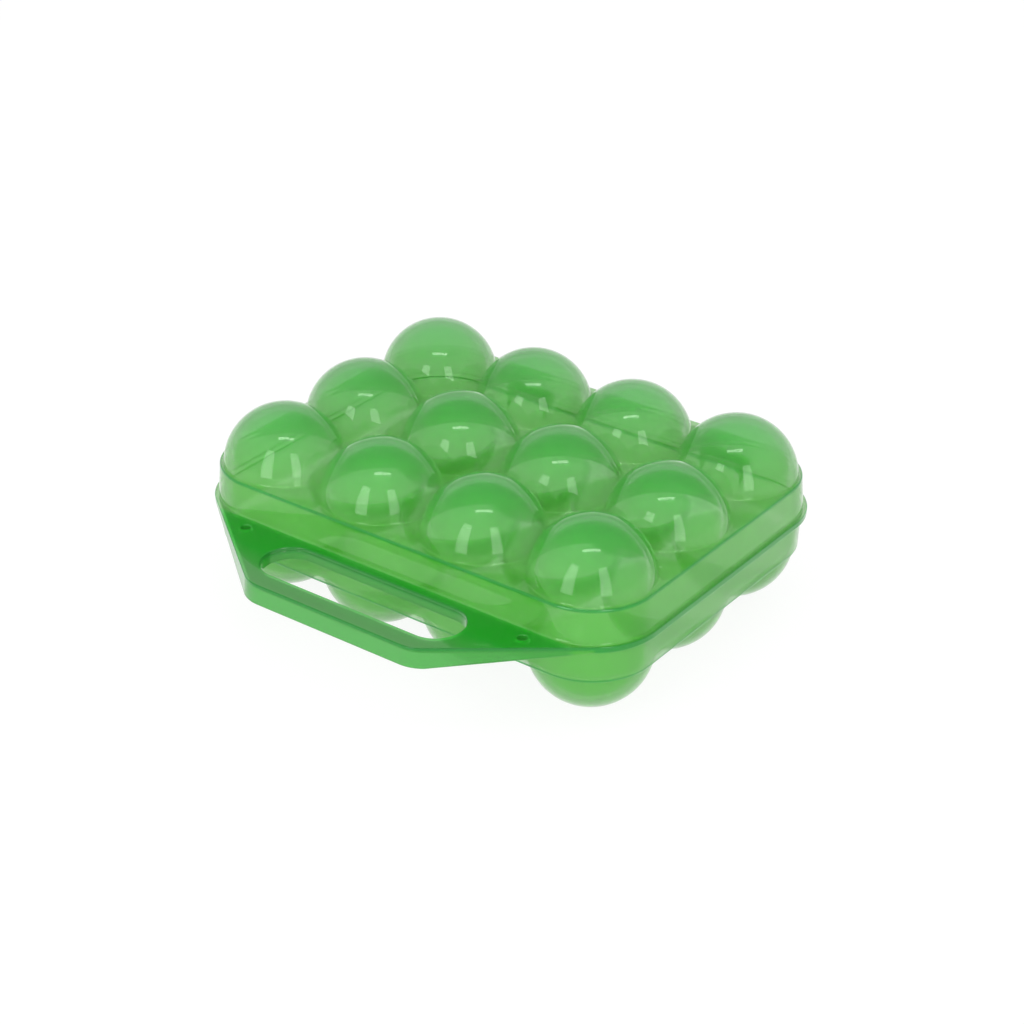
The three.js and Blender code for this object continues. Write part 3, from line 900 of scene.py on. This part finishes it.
def softbox(name, centre, width, height, radiance):
    """Rectangular lamp facing the object. Its power is radiance * pi * area."""
    lamp = bpy.data.lights.new(name, "AREA")
    lamp.shape = "RECTANGLE"
    lamp.size = width
    lamp.size_y = height
    lamp.energy = radiance * math.pi * width * height
    thing = bpy.data.objects.new(name, lamp)
    bpy.context.scene.collection.objects.link(thing)
    thing.location = centre
    back = np.asarray(centre) * ([1, 1, 0] if height > width else [1, 1, 1])
    back = back / np.linalg.norm(back)
    right = np.cross([0, 0, 1], back)
    right = right / np.linalg.norm(right)
    turn_to(thing, right, np.cross(back, right), back)
    thing.visible_camera = False


def standing_softbox(name, azimuth, distance, width, height, radiance):
    """Upright softbox that stands just clear of the floor."""
    centre = distance * direction(azimuth, 0) + [0, 0, height / 2 + FOOT_GAP]
    softbox(name, centre, width, height, radiance)


def lights():
    """Two standing softboxes, a strip overhead and an even sky, which the camera itself sees white."""
    standing_softbox("left_softbox", LEFT_AZIMUTH, LEFT_DISTANCE, LEFT_WIDTH, LEFT_HEIGHT, LEFT_LIGHT)
    standing_softbox("right_softbox", RIGHT_AZIMUTH, RIGHT_DISTANCE, RIGHT_WIDTH, RIGHT_HEIGHT, RIGHT_LIGHT)
    overhead = STRIP_DISTANCE * direction(CAMERA_AZIMUTH, STRIP_ELEVATION)
    softbox("overhead_strip", overhead, STRIP_WIDTH, STRIP_DEPTH, STRIP_LIGHT)
    world = bpy.data.worlds.new("studio")
    bpy.context.scene.world = world
    world.use_nodes = True
    nodes, links = world.node_tree.nodes, world.node_tree.links
    background = nodes["Background"]
    background.inputs["Color"].default_value = (1, 1, 1, 1)
    path = nodes.new("ShaderNodeLightPath")
    strength = ramp(nodes, links, path.outputs["Is Camera Ray"], (0, 1), (SKY_LIGHT, 1.0))
    links.new(strength, background.inputs["Strength"])


def camera():
    """Camera at CAMERA_DISTANCE from its target, rolled about its own axis."""
    lens = bpy.data.cameras.new("camera")
    lens.lens = CAMERA_LENS
    lens.sensor_width = CAMERA_SENSOR
    lens.clip_start = CAMERA_NEAR
    thing = bpy.data.objects.new("camera", lens)
    bpy.context.scene.collection.objects.link(thing)
    back = direction(CAMERA_AZIMUTH, CAMERA_ELEVATION)
    thing.location = GRID_CENTRE + CAMERA_TARGET + CAMERA_DISTANCE * back
    level = np.cross([0, 0, 1], back)
    level = level / np.linalg.norm(level)
    over = np.cross(back, level)
    roll = math.radians(CAMERA_ROLL)
    right = level * math.cos(roll) - over * math.sin(roll)
    up = level * math.sin(roll) + over * math.cos(roll)
    turn_to(thing, right, up, back)
    bpy.context.scene.camera = thing


plastic = clear_green_plastic()
for make, body, node in ((base_moulding, "base", "base_shell"), (lid_moulding, "lid", "lid_shell")):
    moulding = make()
    moulding.data.materials.clear()
    moulding.data.materials.append(plastic)
    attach(moulding, body)
    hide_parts(node)

floor()
lights()
camera()
bpy.context.scene.view_settings.view_transform = "Standard"
